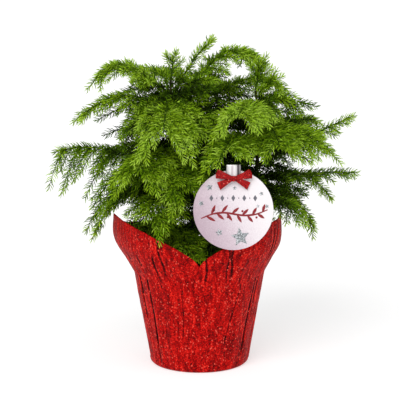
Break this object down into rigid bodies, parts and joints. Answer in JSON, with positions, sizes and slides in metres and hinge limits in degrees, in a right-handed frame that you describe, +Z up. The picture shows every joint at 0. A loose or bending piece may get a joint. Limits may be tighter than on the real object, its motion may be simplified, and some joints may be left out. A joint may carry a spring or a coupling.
{
  "type": "potted norfolk island pine",
  "caption": "Potted Norfolk Island pine: tiered feathery boughs on slim stems, in a pleated red gift cover with a round ornament tag.",
  "frame": {"origin": "middle of the gift cover's flat underside, on the surface that the plant stands on", "axes": "+Z up along the pot's axis; the front, with the cover's notch and the round tag, faces -Y; +X is to the right seen from the front"},
  "size_m": [0.3359, 0.2475, 0.3546],
  "materials": {
    "cover_foil": "red glitter, pleated and crinkled",
    "nursery_pot": "black, moulded",
    "potting_mix": "moist crumbly peat and bark",
    "tag_card": "coated white to pale lilac, plain stars",
    "tag_cap": "silver foil",
    "tag_ribbon": "red glitter ribbon",
    "tag_stake": "clear",
    "bark": "young green-brown bark with needle scars",
    "foliage": "soft needles, bright yellow-green at the tips to deep green inside"
  },
  "bodies": {
    "root": {"bough_main_far_left": "bark", "bough_main_low_back_left": "bark", "bough_main_low_left": "bark", "bough_main_mid_left": "bark", "bough_right_fan": "bark", "bough_right_far": "bark", "bough_right_feather": "bark", "bough_right_level": "bark", "mass_main_back": "foliage", "mass_main_back_left": "foliage", "mass_main_fan": "foliage", "mass_main_far_left": "foliage", "mass_main_front_right": "foliage", "mass_main_inner_front": "foliage", "mass_main_leader": "foliage", "mass_main_left": "foliage", "mass_main_left_front": "foliage", "mass_main_low_back": "foliage", "mass_main_low_back_left": "foliage", "mass_main_low_front": "foliage", "mass_main_low_left": "foliage", "mass_main_mid_front": "foliage", "mass_main_mid_left": "foliage", "mass_main_notch": "foliage", "mass_main_rim_left": "foliage", "mass_main_top": "foliage", "mass_main_top_right": "foliage", "mass_main_tuft": "foliage", "mass_main_upper_left": "foliage", "mass_rear_back": "foliage", "mass_rear_leader": "foliage", "mass_rear_left": "foliage", "mass_rear_low_back": "foliage", "mass_rear_low_left": "foliage", "mass_rear_right": "foliage", "mass_right_back": "foliage", "mass_right_fan": "foliage", "mass_right_far": "foliage", "mass_right_far_back": "foliage", "mass_right_feather": "foliage", "mass_right_front": "foliage", "mass_right_leader": "foliage", "mass_right_level": "foliage", "mass_right_low": "foliage", "mass_right_low_back": "foliage", "mass_right_rim": "foliage", "mass_right_rosette": "foliage", "mass_right_top": "foliage", "mass_right_upper": "foliage", "nursery_pot": "nursery_pot", "pot_cover": "cover_foil", "potting_mix": "potting_mix", "stem_main": "bark", "stem_rear": "bark", "stem_right": "bark", "tag_bow": "tag_ribbon", "tag_cap": "tag_cap", "tag_card": "tag_card", "tag_stake": "tag_stake"}
  },
  "joints": []
}
